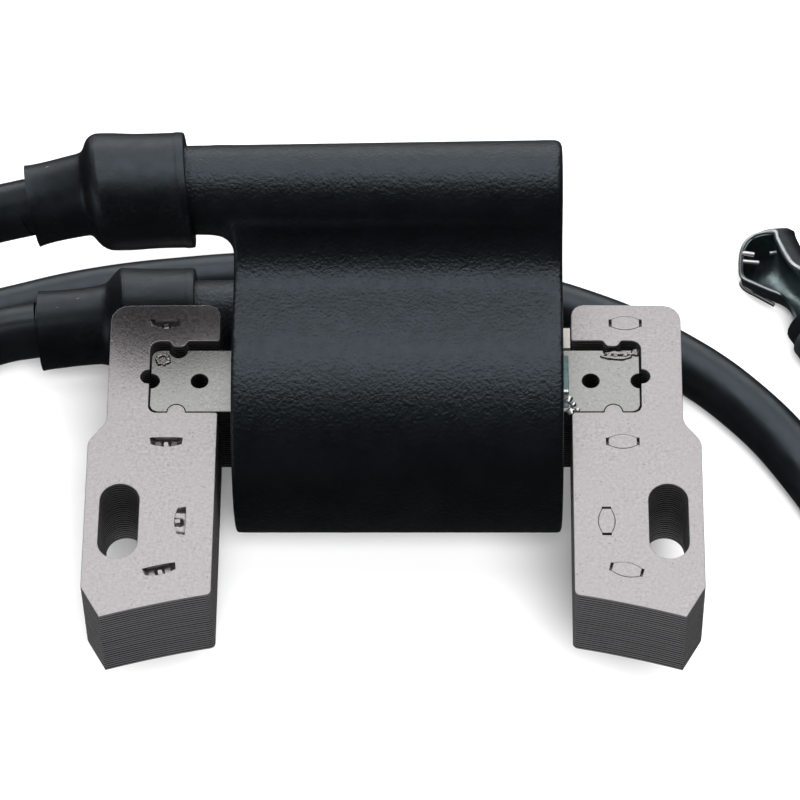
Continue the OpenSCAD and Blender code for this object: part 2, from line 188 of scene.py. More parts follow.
def turn(degrees, axis):
    return Matrix.Rotation(math.radians(degrees), 4, axis)


def make_camera():
    data = bpy.data.cameras.new("camera")
    data.lens = CAMERA_LENS
    data.clip_start = 0.01
    camera = link(bpy.data.objects.new("camera", data))
    look = turn(-CAMERA_YAW, "Z") @ turn(CAMERA_TILT, "X") @ turn(CAMERA_ROLL, "Z")
    camera.matrix_world = Matrix.Translation(Vector(CAMERA_AT) * MM) @ look
    bpy.context.scene.camera = camera


make_camera()

# ---- small helpers ----


class Look:
    """A material, with short calls for the nodes that the finishes share."""

    def __init__(self, name, color, roughness, metallic=0.0, **sockets):
        self.material = bpy.data.materials.new(name)
        self.material.use_nodes = True
        self.tree = self.material.node_tree
        self.shader = self.tree.nodes["Principled BSDF"]
        self.set("Base Color", (*color, 1))
        self.set("Roughness", roughness)
        self.set("Metallic", metallic)
        for socket, value in sockets.items():
            self.set(socket.replace("_", " "), value)
        self.place = self.node("ShaderNodeTexCoord").outputs["Object"]

    def node(self, kind, **settings):
        made = self.tree.nodes.new(kind)
        for key, value in settings.items():
            setattr(made, key, value)
        return made

    def set(self, socket, value):
        self.shader.inputs[socket].default_value = value

    def feed(self, source, target):
        self.tree.links.new(source, target)

    def to(self, source, socket):
        self.feed(source, self.shader.inputs[socket])

    def scaled(self, size, stretch):
        """Object coordinates in units of size mm."""
        scale = self.node("ShaderNodeMapping")
        scale.inputs["Scale"].default_value = [1 / (size * MM * s) for s in stretch]
        self.feed(self.place, scale.inputs["Vector"])
        return scale.outputs["Vector"]

    def noise(self, size, detail=2.0, stretch=(1, 1, 1), roughness=0.55):
        """Noise whose features are about size mm across, longer along an axis by stretch."""
        made = self.node("ShaderNodeTexNoise")
        made.inputs["Scale"].default_value = 1
        made.inputs["Detail"].default_value = detail
        made.inputs["Roughness"].default_value = roughness
        self.feed(self.scaled(size, stretch), made.inputs["Vector"])
        return made.outputs["Fac"]

    def cells(self, size, stretch=(1, 1, 1)):
        """Distance to the nearest of points about size mm apart."""
        made = self.node("ShaderNodeTexVoronoi")
        made.inputs["Scale"].default_value = 1
        self.feed(self.scaled(size, stretch), made.inputs["Vector"])
        return made.outputs["Distance"]

    def remap(self, source, low, high, to_low=0.0, to_high=1.0):
        """Stretches the range low to high into another one, and clamps what is outside."""
        made = self.node("ShaderNodeMapRange")
        for name, value in zip(("From Min", "From Max", "To Min", "To Max"), (low, high, to_low, to_high)):
            made.inputs[name].default_value = value
        self.feed(source, made.inputs["Value"])
        return made.outputs["Result"]

    def mix(self, factor, a, b):
        """Colour a where factor is 0 and b where it is 1."""
        made = self.node("ShaderNodeMix", data_type="RGBA")
        for socket, value in ((made.inputs[6], a), (made.inputs[7], b)):
            if isinstance(value, tuple):
                socket.default_value = (*value, 1)
            else:
                self.feed(value, socket)
        self.feed(factor, made.inputs[0])
        return made.outputs[2]

    def product(self, a, b):
        made = self.node("ShaderNodeMath", operation="MULTIPLY")
        self.feed(a, made.inputs[0])
        self.feed(b, made.inputs[1])
        return made.outputs[0]

    def bump(self, *layers):
        """Each layer is (height, depth in mm)."""
        normal = None
        for height, depth in layers:
            made = self.node("ShaderNodeBump")
            made.inputs["Strength"].default_value = 1
            made.inputs["Distance"].default_value = depth * MM
            self.feed(height, made.inputs["Height"])
            if normal:
                self.feed(normal, made.inputs["Normal"])
            normal = made.outputs["Normal"]
        self.to(normal, "Normal")
        return self


def piece(name, points, faces, looks, slot, stands_for=(), sharp=40, slots_of=None):
    """A closed mesh that rides on the coil. Points are in mm."""
    mesh = bpy.data.meshes.new(name)
    mesh.from_pydata([Vector(p) * MM for p in points], [], faces)
    for look in looks:
        mesh.materials.append(look.material)
    if slots_of:
        mesh.polygons.foreach_set("material_index", slots_of)
    return finished(link(bpy.data.objects.new(name, mesh)), slot, stands_for, sharp)


def finished(obj, slot, stands_for=(), sharp=40):
    """Shades a mesh and says what it rides on, is made of and stands for. sharp is in degrees."""
    bm = bmesh.new()
    bm.from_mesh(obj.data)
    bmesh.ops.recalc_face_normals(bm, faces=bm.faces)
    bm.to_mesh(obj.data)
    bm.free()
    obj.data.shade_smooth()
    obj.data.set_sharp_from_angle(angle=math.radians(sharp))
    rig.ride(obj, "root")
    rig.slot(obj, slot)
    if stands_for:
        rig.replaces(obj, *stands_for)
    return obj


def ring(centre, along, radius, sides, up=Vector((0, 0, 1))):
    """Points of a circle round the direction along."""
    side = along.cross(up).normalized()
    top = side.cross(along).normalized()
    angles = [2 * math.pi * k / sides for k in range(sides)]
    return [centre + radius * (math.cos(a) * side + math.sin(a) * top) for a in angles]


def loft(rings, joined=False):
    """Faces between rings of equal length. Joined rings make a torus; others get end caps."""
    sides = len(rings[0])
    points = [p for r in rings for p in r]
    spans = len(rings) if joined else len(rings) - 1
    faces = []
    for i in range(spans):
        a, b = i * sides, (i + 1) % len(rings) * sides
        for k in range(sides):
            n = (k + 1) % sides
            faces.append((a + k, a + n, b + n, b + k))
    if not joined:
        faces.append(tuple(range(sides)))
        faces.append(tuple(range(len(points) - 1, len(points) - 1 - sides, -1)))
    return points, faces


def through(knots, share):
    """Smooth line through tuples: share runs from 0 at the first to 1 at the last."""
    at = share * (len(knots) - 1)
    i = min(int(at), len(knots) - 2)
    t = at - i
    four = [knots[min(max(k, 0), len(knots) - 1)] for k in (i - 1, i, i + 1, i + 2)]
    return [b + (c - a) * t / 2 + (2 * a - 5 * b + 4 * c - d) * t * t / 2 + (3 * (b - c) + d - a) * t ** 3 / 2
            for a, b, c, d in zip(*four)]


# ---- finishes ----

COOL = (0.74, 0.88, 1.0, 1)  # tint of the shine on the black parts


def lead_look():
    look = Look("lead_sheath", (0.006, 0.0065, 0.007), 0.42, Specular_IOR_Level=0.5, Specular_Tint=COOL)
    haze = look.noise(6, 3)
    look.to(look.mix(look.remap(haze, 0.35, 0.7), (0.004, 0.005, 0.006), (0.010, 0.011, 0.013)), "Base Color")
    look.to(look.remap(look.noise(2.5, 3), 0.3, 0.7, 0.30, 0.45), "Roughness")
    return look.bump((look.noise(0.5, 2), 0.012), (look.noise(9, 2), 0.12))


def steel_face_look(name, color):
    look = Look(name, color, 0.36, 1.0)
    shade = lambda k: tuple(c * k for c in color)
    grain = look.mix(look.remap(look.noise(0.42, 4, roughness=0.75), 0.36, 0.64), shade(0.80), shade(1.10))
    blotch = look.mix(look.remap(look.noise(5, 3), 0.4, 0.62), shade(0.95), grain)
    cloudy = look.mix(look.remap(look.noise(3.2, 2), 0.3, 0.7, 0.35, 0.8), blotch, grain)
    speck = look.product(look.remap(look.noise(0.28, 2), 0.66, 0.72), look.remap(look.noise(2.5), 0.45, 0.55))
    look.to(look.mix(speck, cloudy, shade(0.42)), "Base Color")
    look.to(look.remap(look.noise(0.5, 3), 0.3, 0.7, 0.28, 0.37), "Roughness")
    pits = look.remap(look.cells(2.6), 0.05, 0.09)
    return look.bump((look.noise(0.30, 3), 0.018), (look.noise(1.3, 2), 0.006), (pits, 0.01))


def steel_edge_look(name, color):
    look = Look(name, color, 0.45, 0.55)
    by_sheet = look.noise(0.5, 1, (60, 60, 1))
    low = tuple(c * 0.93 for c in color)
    along = look.remap(look.noise(1.1, 3, (1, 1, 0.5)), 0.3, 0.7)
    body = look.mix(look.remap(by_sheet, 0.2, 0.8), low, color)
    look.to(look.mix(along, tuple(c * 0.88 for c in color), body), "Base Color")
    look.to(look.remap(look.noise(0.4, 2), 0.3, 0.7, 0.36, 0.58), "Roughness")
    return look.bump((look.noise(0.12, 2, (1, 1, 4)), 0.02))


def housing_look():
    look = Look("housing", (0.004, 0.005, 0.006), 0.40, Specular_IOR_Level=0.5, Specular_Tint=COOL)
    patches = look.remap(look.noise(5, 3), 0.35, 0.7)
    look.to(look.mix(patches, (0.003, 0.004, 0.005), (0.006, 0.007, 0.009)), "Base Color")
    look.to(look.remap(look.noise(1.4, 3), 0.3, 0.7, 0.36, 0.47), "Roughness")
    return look.bump((look.noise(0.45, 2), 0.13), (look.noise(1.5, 2), 0.06))


def rubber_look():
    look = Look("boot_rubber", (0.006, 0.006, 0.007), 0.46, Specular_IOR_Level=0.5, Specular_Tint=COOL)
    dust = look.product(look.remap(look.noise(0.5, 3), 0.42, 0.75), look.remap(look.noise(6, 3), 0.4, 0.7))
    body = look.mix(dust, (0.002, 0.002, 0.003), (0.017, 0.018, 0.020))
    thread = look.remap(look.cells(1.5, (3, 1, 1)), 0.08, 0.04)
    lint = look.product(thread, look.remap(look.noise(5), 0.5, 0.56))
    look.to(look.mix(lint, body, (0.25, 0.26, 0.27)), "Base Color")
    look.to(look.remap(look.noise(1.8, 3), 0.3, 0.7, 0.38, 0.5), "Roughness")
    return look.bump((look.noise(0.3, 2), 0.012), (look.noise(3.5, 3), 0.06))


def plain_look(name, color, roughness, metallic=0.0, grain=0.6, depth=0.01, **sockets):
    look = Look(name, color, roughness, metallic, **sockets)
    dark = tuple(c * 0.75 for c in color)
    look.to(look.mix(look.remap(look.noise(grain * 4, 3), 0.35, 0.7), dark, color), "Base Color")
    spread = (roughness * 0.8, min(1, roughness * 1.25))
    look.to(look.remap(look.noise(grain * 1.5, 2), 0.3, 0.7, *spread), "Roughness")
    return look.bump((look.noise(grain, 2), depth))


LEAD = lead_look()
LEG_FACE = steel_face_look("leg_face", (0.278, 0.262, 0.266))
LEG_EDGE = steel_edge_look("leg_edge", (0.38, 0.375, 0.385))
CORE_FACE = steel_face_look("core_face", (0.235, 0.238, 0.230))
# The core's sheet edges are far darker than the legs' edges of the same steel: painted shade for edges that lie in the
# gaps by the body.
CORE_EDGE_SHADED = steel_edge_look("core_edge_painted_shade", (0.10, 0.105, 0.105))
HOUSING = housing_look()
RUBBER = rubber_look()
# Near-black walls of the grooves between sheets: painted shade deep in the gaps.
SHEET_GAP_SHADE = plain_look("sheet_gap_painted_shade", (0.012, 0.012, 0.012), 0.7)
WELD = plain_look("weld", (0.26, 0.25, 0.24), 0.30, 1.0, 0.3, 0.05)
SOLDER = plain_look("solder", (0.55, 0.56, 0.57), 0.22, 1.0, 0.3, 0.04)
CREAM = plain_look("cream_plastic", (0.90, 0.86, 0.82), 0.45)
CLIP = plain_look("clip_steel", (0.19, 0.235, 0.245), 0.42, 1.0, 0.9, 0.05)
# A near-black copy of the clip steel for the curled flange: painted shade on its outer side.
CLIP_OUTSIDE_SHADE = plain_look("clip_outside", (0.05, 0.055, 0.06), 0.5, 1.0, 0.6, 0.03)
# A brighter copy of the clip steel for the rolled lip and the crimp band: painted highlight.
CLIP_EDGE_HIGHLIGHT = plain_look("clip_edge", (0.42, 0.45, 0.47), 0.46, 1.0, 0.8, 0.03)
# Near-white spring ends inside the scoop: painted highlight.
SPRING_TIP_HIGHLIGHT = plain_look("spring_tip", (0.95, 0.95, 0.95), 0.5, 1.0, 0.4, 0.005)
WIRE = plain_look("spring_wire", (0.25, 0.25, 0.26), 0.3, 1.0, 0.4, 0.005)
SEAL = plain_look("epoxy_seal", (0.10, 0.21, 0.24), 0.25)
POTTING = plain_look("potting", (0.030, 0.028, 0.025), 0.15, grain=2.5, depth=0.03, Coat_Weight=0.3)

CARRIED = {
    "winding_wire": plain_look("enamelled_copper", (0.60, 0.25, 0.11), 0.25, 0.9),
    "tape": plain_look("polyester_tape", (0.70, 0.50, 0.15), 0.25),
    "white_plastic": plain_look("white_plastic", (0.80, 0.80, 0.76), 0.45),
    "tinned_wire": plain_look("tinned_wire", (0.72, 0.72, 0.72), 0.3, 1.0),
    "solder": SOLDER,
    "cream_plastic": CREAM,
    "potting": POTTING,
    "board": plain_look("solder_mask", (0.03, 0.19, 0.08), 0.3),
    "component_black": plain_look("moulded_epoxy", (0.025, 0.025, 0.027), 0.5),
    "resistor_body": plain_look("resistor_lacquer", (0.62, 0.46, 0.28), 0.3),
    "capacitor_body": plain_look("capacitor_epoxy", (0.60, 0.20, 0.04), 0.25),
    "brass": plain_look("tinned_brass", (0.66, 0.60, 0.46), 0.32, 1.0),
    "wire_insulation": plain_look("wire_insulation", (0.75, 0.20, 0.07), 0.35),
    "copper": plain_look("copper", (0.80, 0.40, 0.25), 0.3, 1.0),
    "lead_sheath": LEAD,
    "boot_rubber": RUBBER,
    "weld": WELD,
    "housing": HOUSING,
    "lamination_steel": LEG_FACE,
    "core_steel": CORE_FACE,
    "clip_steel": CLIP,
    "spring_steel": WIRE,
}
for entry in frame["record"]["subparts"]:
    NODES[entry["node"]].data.materials[0] = CARRIED[entry["material_slot"]].material

# ---- leads ----

LEAD_D = 7.6
FLOOR_Z = -12.3

UPPER_ROUTE = [
    (-48.2, 42.4, 23.7), (-53.2, 42.4, 21.92), (-61, 42.4, 18.4), (-70, 42.4, 12.8),
    (-80, 42.5, 5.8), (-91, 42.7, -1.2), (-103, 43, -6.4), (-115.5, 43, -8.5),
    (-130, 39, -8.5), (-140.2, 28.5, -8.5), (-144, 14, -8.5),
    (-140.2, -0.5, -8.5), (-130, -11, -8.5), (-115.5, -15, -8.5), (-101.2, -11, -8.5),
    (-91.2, -0.5, -8.5), (-87.3, 14, -8.5), (-84.9, 27.8, -8.5), (-78.4, 38.4, -8.5), (-67.8, 44.8, -8.5),
    (-55.5, 48, -8.5), (-43, 51.5, -8.5), (-30, 53.5, -8.5), (-16, 54.5, -8.5), (-2, 54, -8.5),
    (12, 52, -8.5), (25, 48, -8.5), (37, 41.5, -8.5), (47.5, 32.5, -8.5), (55.5, 21.5, -8.5),
    (61.4, 9.5, -8.3), (65.6, -3.2, -7.9), (67.1, -8, -7.9),
]
LOWER_ROUTE = [
    (-49, 41.9, -3.2), (-54.5, 41.2, -3.9), (-62.3, 38.3, -5.3), (-69.7, 32.8, -6.9),
    (-75.2, 25, -8.1), (-78.1, 14, -8.5),
    (-78.8, 1, -8.5), (-77.5, -13, -8.5), (-71.5, -26, -8.5), (-60.5, -34.5, -8.5),
    (-47, -37.2, -8.5), (-34, -37.6, -8.5), (-20, -37.6, -8.5), (-6, -37.6, -8.5), (8, -37.6, -8.5),
    (23, -37.6, -8.5), (38, -37.6, -8.5), (53, -36.7, -8.5), (67, -32.3, -8.5), (77, -23, -8.5),
    (80.8, -10, -8.5), (80.2, 2, -8.5), (76.6, 14, -8.5), (71, 23.5, -8.5), (65.7, 30.5, -8.4),
    (61.9, 36.4, -8.2), (59.2, 42.2, -7.9), (56.85, 46.6, -7.9),
]


def make_lead(name, route, length, on_it):
    """A lead along its route. Its handles are kept at the height of a lead on the floor."""
    curve = bpy.data.curves.new(name, "CURVE")
    curve.dimensions = "3D"
    curve.bevel_depth = LEAD_D / 2 * MM
    curve.bevel_resolution = 10
    curve.resolution_u = 16
    curve.use_fill_caps = True
    spline = curve.splines.new("BEZIER")
    spline.bezier_points.add(len(route) - 1)
    for point, at in zip(spline.bezier_points, route):
        point.co = Vector(at) * MM
        point.handle_left_type = point.handle_right_type = "AUTO"
    curve.materials.append(LEAD.material)
    lead = link(bpy.data.objects.new(name + "_sheath", curve))
    bpy.context.view_layer.update()
    lowest = (FLOOR_Z + LEAD_D / 2) * MM
    for point in spline.bezier_points:
        handles = [point.handle_left.copy(), point.handle_right.copy()]
        point.handle_left_type = point.handle_right_type = "FREE"
        for handle in handles:
            handle.z = max(handle.z, lowest)
        point.handle_left, point.handle_right = handles
    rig.ride(lead, "root")
    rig.slot(lead, "lead_sheath")
    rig.replaces(lead, name)
    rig.cord(lead, exit=[c * MM for c in route[0]], length=length, diameter=LEAD_D * MM,
            far_end="fitting", stiffness="medium", lay="loose", with_pieces=on_it)


# ---- lamination stacks ----

SHEET_T = 0.5
SHEETS = round(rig.box("core_laminations")[1].z / MM / SHEET_T)
GROOVE = 0.11  # depth of the groove between two sheets
GROOVE_HALF = 0.10  # half its width
POLE_CORNER_R = 0.75
EDGE_ROUND = 0.08
SHEET_SHIFT = 0.012  # how far a sheet may lie out of line

INTERLOCK_HALF = 1.85
INTERLOCK_WIDTH = (1.08, 0.56)


def face_outlines(node, height):
    """Outlines of a CAD node's flat face at that height, each with the metal on its left."""
    bm = bmesh.new()
    bm.from_mesh(NODES[node].data)
    bmesh.ops.remove_doubles(bm, verts=bm.verts, dist=0.002 * MM)
    flat = {f for f in bm.faces if abs(f.normal.z) > 0.99
            and abs(f.calc_center_median().z - height * MM) < 0.01 * MM}
    after = {}
    for face in flat:
        for corner in face.loops:
            if sum(f in flat for f in corner.edge.link_faces) == 1:
                after[corner.vert] = corner.link_loop_next.vert
    loops = []
    while after:
        start, here = after.popitem()
        loop = [start]
        while here is not start:
            loop.append(here)
            here = after.pop(here)
        loops.append([Vector(v.co.xy) / MM for v in loop])
    bm.free()
    loops.sort(key=lambda loop: -abs(area(loop)))
    return [loop if (area(loop) > 0) == (i == 0) else loop[::-1] for i, loop in enumerate(loops)]


def softened(loop):
    """Rounds the outline's hard outer corners, as a worn stamping has them."""
    made = []
    for i, here in enumerate(loop):
        before, after = loop[i - 1] - here, loop[(i + 1) % len(loop)] - here
        opening = before.angle(after)
        bend = math.pi - opening
        reach = POLE_CORNER_R * math.tan(bend / 2)
        if bend < math.radians(30) or min(before.length, after.length) < reach * 1.05:
            made.append(here)
            continue
        into = (before.normalized() + after.normalized()).normalized()
        hub = here + into * POLE_CORNER_R / math.sin(opening / 2)
        first, last = here + before.normalized() * reach - hub, here + after.normalized() * reach - hub
        for k in range(6):
            way = first.lerp(last, k / 5).normalized()
            made.append(hub + way * POLE_CORNER_R)
    return made


def area(loop):
    return sum(a.x * b.y - b.x * a.y for a, b in zip(loop, loop[1:] + loop[:1])) / 2


def inset(loop, by):
    """The outline moved into the metal, which lies on its left."""
    moved = []
    for i, here in enumerate(loop):
        into = (here - loop[i - 1]).normalized()
        out = (loop[(i + 1) % len(loop)] - here).normalized()
        left = Vector((-into.y - out.y, into.x + out.x))
        if left.length < 1e-6:
            left = Vector((-into.y, into.x))
        left.normalize()
        moved.append(here + left * by / max(0.4, left.dot(Vector((-into.y, into.x)))))
    return moved


def interlock_half_width(x):
    wide, end = INTERLOCK_WIDTH
    return wide - (wide - end) * (x / INTERLOCK_HALF) ** 2


def interlock_sides(steps, end_grow=0.0, side_grow=0.0):
    """Pairs of points across an interlock, from its left end to its right one."""
    half = INTERLOCK_HALF + end_grow
    xs = [half * (2 * i / steps - 1) for i in range(steps + 1)]
    widths = [interlock_half_width(min(abs(x), INTERLOCK_HALF)) + side_grow for x in xs]
    return [(Vector((x, -w)), Vector((x, w))) for x, w in zip(xs, widths)]


def placed(point, at):
    """A point of an interlock at its place: at is x, y and the direction of its long side."""
    c, s = math.cos(math.radians(at[2])), math.sin(math.radians(at[2]))
    return Vector((at[0] + c * point.x - s * point.y, at[1] + s * point.x + c * point.y))


class Solid:
    """Collects points and faces, with a material number for each face."""

    def __init__(self):
        self.points, self.faces, self.kinds = [], [], []

    def add(self, points, faces, kind=0):
        start = len(self.points)
        self.points += points
        self.faces += [tuple(start + i for i in f) for f in faces]
        self.kinds += [kind] * len(faces)
        return start

    def strip(self, low, high, kind):
        """Faces between two closed loops of point numbers."""
        n = len(low)
        self.faces += [(low[k], low[(k + 1) % n], high[(k + 1) % n], high[k]) for k in range(n)]
        self.kinds += [kind] * n

    def put(self, loop, z, shift=Vector((0, 0))):
        start = len(self.points)
        self.points += [Vector((p.x + shift.x, p.y + shift.y, z)) for p in loop]
        return list(range(start, start + len(loop)))

    def cap(self, loops, numbers, kind):
        """Fills the flat area inside the first loop and outside the others."""
        flat = [[Vector((p.x, p.y, 0)) for p in loop] for loop in loops]
        order = [i for loop in numbers for i in loop]
        for face in geometry.tessellate_polygon(flat):
            self.faces.append(tuple(order[i] for i in face))
            self.kinds.append(kind)


def pressed_in(solid, at, top):
    """The sunk side of an interlock: deep under its far edge, with a bump by the near one."""
    across, along = 12, 32
    grid = []
    for j in range(across + 1):
        v = j / across
        for i in range(along + 1):
            u = 2 * i / along - 1
            far = 0.72 - 0.10 * u * u
            near = -0.80 + 0.42 * u * u
            point = Vector((u * (2.05 + 0.12 * v), near + (far - near) * v))
            depth = 0.60 * min(1, (1 - abs(u)) * 3.0) * (0.62 + 0.38 * v)
            bump = 0.50 * math.exp(-(u / 0.24) ** 4 - ((v - 0.30) / 0.36) ** 4)
            grid.append((placed(point, at), max(0.03, depth - bump)))
    row = along + 1
    loop = list(range(row)) + [j * row + along for j in range(1, across + 1)]
    loop += [across * row + i for i in range(along - 1, -1, -1)] + [j * row for j in range(across - 1, 0, -1)]
    rim_loop = [grid[i][0] for i in loop]
    rim = solid.put(rim_loop, top)
    start = len(solid.points)
    solid.points += [Vector((p.x, p.y, top - deep)) for p, deep in grid]
    solid.strip(rim, [start + i for i in loop], 0)
    for j in range(across):
        for i in range(along):
            a = start + j * row + i
            solid.faces.append((a, a + 1, a + row + 1, a + row))
            solid.kinds.append(0)
    return rim_loop, rim


def standing_out(solid, at, top):
    """The proud side of an interlock: a tongue with gaps at its cut ends. Returns the rim."""
    steps = 12
    hole = interlock_sides(steps, 0.34, 0.05)
    hole_loop = [placed(a, at) for a, b in hole][::-1] + [placed(b, at) for a, b in hole]
    rim = solid.put(hole_loop, top)
    floor = solid.put(hole_loop, top - 0.9)
    solid.strip(rim, floor, 1)
    solid.cap([hole_loop[::-1]], [floor[::-1]], 1)
    tongue = interlock_sides(steps)
    loop = [placed(a, at) for a, b in tongue] + [placed(b, at) for a, b in tongue][::-1]
    levels = [(-0.88, 0), (-0.04, 0), (0.03, 0.03), (0.06, 0.12)]
    rings = [solid.put(inset(loop, by), top + z) for z, by in levels]
    for low, high in zip(rings, rings[1:]):
        solid.strip(low, high, 0)
    solid.cap([loop], [rings[0]], 0)
    solid.cap([inset(loop, levels[-1][1])], [rings[-1]], 0)
    return hole_loop, rim


def make_stack(name, node, looks, slot, seed, interlocks=(), form=None):
    """Sheets of a stack as one closed solid, with a groove between each two sheets."""
    loops = [softened(loop) for loop in face_outlines(node, 0)]
    chance = random.Random(seed)
    solid = Solid()
    below = [solid.put(inset(loop, GROOVE), 0) for loop in loops]
    solid.cap([inset(loop, GROOVE) for loop in loops], below, 0)
    for k in range(SHEETS):
        shift = Vector((chance.uniform(-1, 1), chance.uniform(-1, 1))) * SHEET_SHIFT
        last = k == SHEETS - 1
        levels = [(k * SHEET_T + GROOVE_HALF, 0), ((k + 1) * SHEET_T - GROOVE_HALF, 0)]
        if last:
            shift = Vector((0, 0))
            levels[1] = (SHEETS * SHEET_T - EDGE_ROUND, 0)
            levels += [(SHEETS * SHEET_T - EDGE_ROUND * 0.3, EDGE_ROUND * 0.3)]
        levels += [((k + 1) * SHEET_T, EDGE_ROUND if last else GROOVE)]
        for number, (z, by) in enumerate(levels):
            in_groove = (number == 0 and k > 0) or (number == 2 and not last)
            level = [solid.put(inset(loop, by), z, shift if by == 0 else Vector((0, 0))) for loop in loops]
            for low, high in zip(below, level):
                # Groove walls take the stack's third look, which is painted shade between sheets.
                solid.strip(low, high, 2 if in_groove else 1)
            below = level
    top = SHEETS * SHEET_T
    rims = [form(solid, at, top) for at in interlocks]
    top_loops = [inset(loop, EDGE_ROUND) for loop in loops] + [loop for loop, rim in rims]
    solid.cap(top_loops, below + [rim for loop, rim in rims], 0)
    made = piece(name, solid.points, solid.faces, looks, slot, [node], 30, solid.kinds)
    for face in made.data.polygons:
        if abs(face.normal.z) > 0.9999:
            face.use_smooth = False
    return made


INTERLOCKS = [(30.3, 31.2, 0), (29.6, 12.3, 0), (27.3, 0, 90), (29.7, -7.4, -13.5)]
LEG_LOOKS = (LEG_FACE, LEG_EDGE, SHEET_GAP_SHADE)
make_stack("right_leg", "right_leg_laminations", LEG_LOOKS, "lamination_steel", 3, INTERLOCKS, standing_out)
mirrored = [(-x, y, -turned) for x, y, turned in INTERLOCKS]
make_stack("left_leg", "left_leg_laminations", LEG_LOOKS, "lamination_steel", 5, mirrored, pressed_in)
make_stack("core_bar", "core_laminations", (CORE_FACE, CORE_EDGE_SHADED, SHEET_GAP_SHADE), "core_steel", 7)

# A tab of each leg fills the notch in the lower edge of the core bar
NOTCH_X = 28.5
KEY_R = 1.12
KEY_BOTTOM, KEY_TOP = 0.3, 12.96
for side in (-1, 1):
    across, low_edge = side * NOTCH_X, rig.box("core_laminations")[0].y / MM
    outline = [(across + 1.5, low_edge - 0.4)]
    outline += [(across + KEY_R * math.cos(math.pi * i / 24), low_edge + KEY_R * math.sin(math.pi * i / 24))
                for i in range(25)]
    outline.append((across - 1.5, low_edge - 0.4))
    points, faces = loft([[Vector((x, y, z)) for x, y in outline] for z in (KEY_BOTTOM, KEY_TOP)])
    key_name = "left_leg_key" if side < 0 else "right_leg_key"
    piece(key_name, points, faces, [LEG_FACE], "lamination_steel", [], 30)

# ---- welds, solder and seal ----

MELT_FLATNESS = 0.6  # height of set metal over its width


def weld_ridge(name, node, at, half, thick, seed):
    """Metal that melted and set as an uneven closed ridge. half is its half length and width."""
    steps, sides = 48, 10
    rings = []
    for i in range(steps):
        a = 2 * math.pi * i / steps
        way = Vector((math.cos(a), math.sin(a), 0))
        wander = 1 + 0.30 * noise.noise(way * 1.7 + Vector((seed, 0, 0)))
        centre = Vector((at[0] + way.x * half[0] * wander, at[1] + way.y * half[1] * wander, at[2]))
        radius = thick * (1 + 0.55 * noise.noise(way * 2.6 + Vector((0, seed, 0))))
        section = []
        for k in range(sides):
            b = 2 * math.pi * k / sides
            rise = Vector((0, 0, math.sin(b) * radius * MELT_FLATNESS))
            section.append(centre + way * math.cos(b) * radius + rise)
        rings.append(section)
    return piece(name, *loft(rings, joined=True), [WELD], "weld", [node], 60)


def blobs(name, look, slot, stands_for, drops, seed):
    """Uneven drops of set metal: x, y, z and radius of each."""
    bm = bmesh.new()
    for x, y, z, r in drops:
        made = bmesh.ops.create_icosphere(bm, subdivisions=3, radius=r)
        for vert in made["verts"]:
            vert.co *= 1 + 0.35 * noise.noise(vert.co * 1.9 / r + Vector((seed + x * 7, y, z)))
            vert.co.z *= MELT_FLATNESS
            vert.co += Vector((x, y, z))
    points = [v.co.copy() for v in bm.verts]
    faces = [tuple(v.index for v in f.verts) for f in bm.faces]
    bm.free()
    return piece(name, points, faces, [look], slot, stands_for, 180)


def soft_box(name, look, slot, low, high, round_by):
    """A box with rounded edges."""
    bm = bmesh.new()
    bmesh.ops.create_cube(bm, size=1)
    for vert in bm.verts:
        vert.co = Vector([a + (b - a) * (c + 0.5) for a, b, c in zip(low, high, vert.co)])
    bmesh.ops.bevel(bm, geom=bm.edges[:], offset=round_by, segments=3, affect="EDGES", profile=0.5)
    points = [v.co.copy() for v in bm.verts]
    bm.verts.index_update()
    faces = [tuple(v.index for v in f.verts) for f in bm.faces]
    bm.free()
    return piece(name, points, faces, [look], slot)


CORE_TOP = 13.0
weld_ridge("left_weld_ring", "left_core_weld", (-30.51, 25.35, CORE_TOP + 0.05), (0.68, 0.78), 0.34, 2.3)
weld_ridge("right_weld_puddle", "right_core_weld", (29.2, 25.9, CORE_TOP + 0.05), (1.75, 0.42), 0.30, 5.1)
blobs("weld_spill", WELD, "weld", (), [(28.1, 25.85, CORE_TOP, 0.5), (28.9, 25.9, CORE_TOP, 0.4),
                                       (30.2, 26.05, CORE_TOP, 0.45), (31.5, 26.4, CORE_TOP, 0.55)], 1.7)
blobs("solder_joint", SOLDER, "solder", ["ground_solder"],
      [(22.6, 18.9, CORE_TOP, 0.62), (23.25, 18.1, CORE_TOP + 0.05, 0.42),
       (23.8, 17.3, CORE_TOP, 0.36), (22.9, 17.1, CORE_TOP - 0.1, 0.55)], 4.4)
soft_box("core_seal", SEAL, "potting", (21.6, 17.6, 12.6), (22.75, 26.0, 13.12), 0.2)

# ---- housing ----

VOXEL = 0.38
TOWER_Y = 42.4
UPPER_Z = 27.3
LOWER_Z = -2.4
TOWER_R = 5.95
TOWER_END_X = -37.7
BODY_LEFT = -21.0
COLLAR_R = 2.6


def fillet_collar(z):
    """Rings of a flared collar that blends a tower into the left face of the body."""
    centre = Vector((0, TOWER_Y, z))
    to_body = Vector((0, -0.45, -0.89))

    def flare(x, out):
        made = []
        for p in ring(Vector((x, TOWER_Y, z)), Vector((1, 0, 0)), 1, 96):
            way = Vector((0, p.y, p.z)) - centre
            share = min(1, max(0, way.dot(to_body) * 1.6 - 0.35))
            made.append(Vector((x, 0, 0)) + centre + way * (TOWER_R + out * share * share * (3 - 2 * share)))
        return made

    rings = []
    for i in range(11):
        turned = math.pi / 2 * i / 10
        rings.append(flare(BODY_LEFT - COLLAR_R * (1 - math.sin(turned)), COLLAR_R * (1 - math.cos(turned))))
    rings.append(flare(BODY_LEFT + 1, COLLAR_R))
    inner = [ring(Vector((x, TOWER_Y, z)), Vector((1, 0, 0)), 4.6, 96)
             for x in (BODY_LEFT + 1, BODY_LEFT - COLLAR_R)]
    return loft(rings + inner, joined=True)


